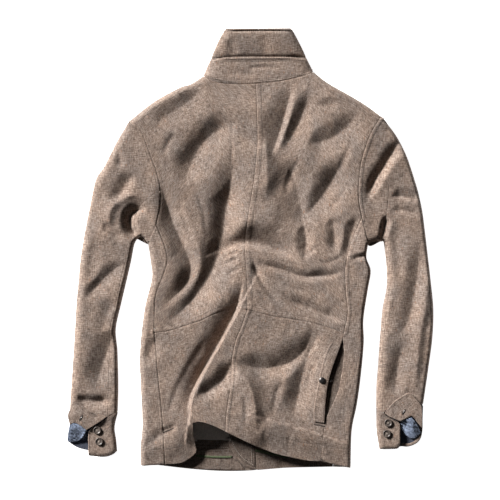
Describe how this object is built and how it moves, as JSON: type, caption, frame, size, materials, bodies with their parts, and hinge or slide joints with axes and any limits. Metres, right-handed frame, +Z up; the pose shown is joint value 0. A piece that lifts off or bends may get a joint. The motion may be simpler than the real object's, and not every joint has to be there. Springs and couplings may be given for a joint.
{
  "type": "stand-collar tweed field blazer",
  "caption": "Men's tweed field blazer with a stand collar, laid flat on its front with the back up, sleeves beside the body, creased cloth and a lifted hem.",
  "frame": {"origin": "middle of the underside of its box, on the surface that it lies on", "axes": "+X to the wearer's right, +Y from the hem towards the collar, +Z up off the surface, out of the garment's back"},
  "size_m": [0.7155, 0.8661, 0.043],
  "materials": {
    "tweed_back": "grey-brown melange wool tweed with rust flecks, soft nap, no sheen",
    "tweed_side": "the same tweed",
    "tweed_front": "the same tweed, seen from inside",
    "tweed_sleeve": "the same tweed",
    "tweed_collar": "the same tweed, interfaced",
    "chambray": "blue-grey chambray cotton, matt",
    "horn": "dark horn, half polished",
    "dark_metal": "darkened brass, half polished"
  },
  "bodies": {
    "root": {"back_left": "tweed_back", "back_right": "tweed_back", "back_skirt_left": "tweed_back", "back_skirt_right": "tweed_back", "button_left_lower": "horn", "button_left_upper": "horn", "button_right_lower": "horn", "button_right_upper": "horn", "collar": "tweed_collar", "collar_band": "tweed_collar", "cuff_flap_left": "tweed_sleeve", "cuff_flap_right": "tweed_sleeve", "cuff_lining_left": "chambray", "cuff_lining_right": "chambray", "cuff_tab_left": "tweed_sleeve", "cuff_tab_right": "tweed_sleeve", "cuff_under_left": "tweed_sleeve", "cuff_under_right": "tweed_sleeve", "facing_left": "tweed_front", "facing_right": "tweed_front", "front_left": "tweed_front", "front_right": "tweed_front", "pocket_snap": "dark_metal", "pocket_welt": "tweed_back", "side_left": "tweed_side", "side_right": "tweed_side", "top_sleeve_left": "tweed_sleeve", "top_sleeve_right": "tweed_sleeve", "under_sleeve_left": "tweed_sleeve", "under_sleeve_right": "tweed_sleeve"}
  },
  "joints": []
}
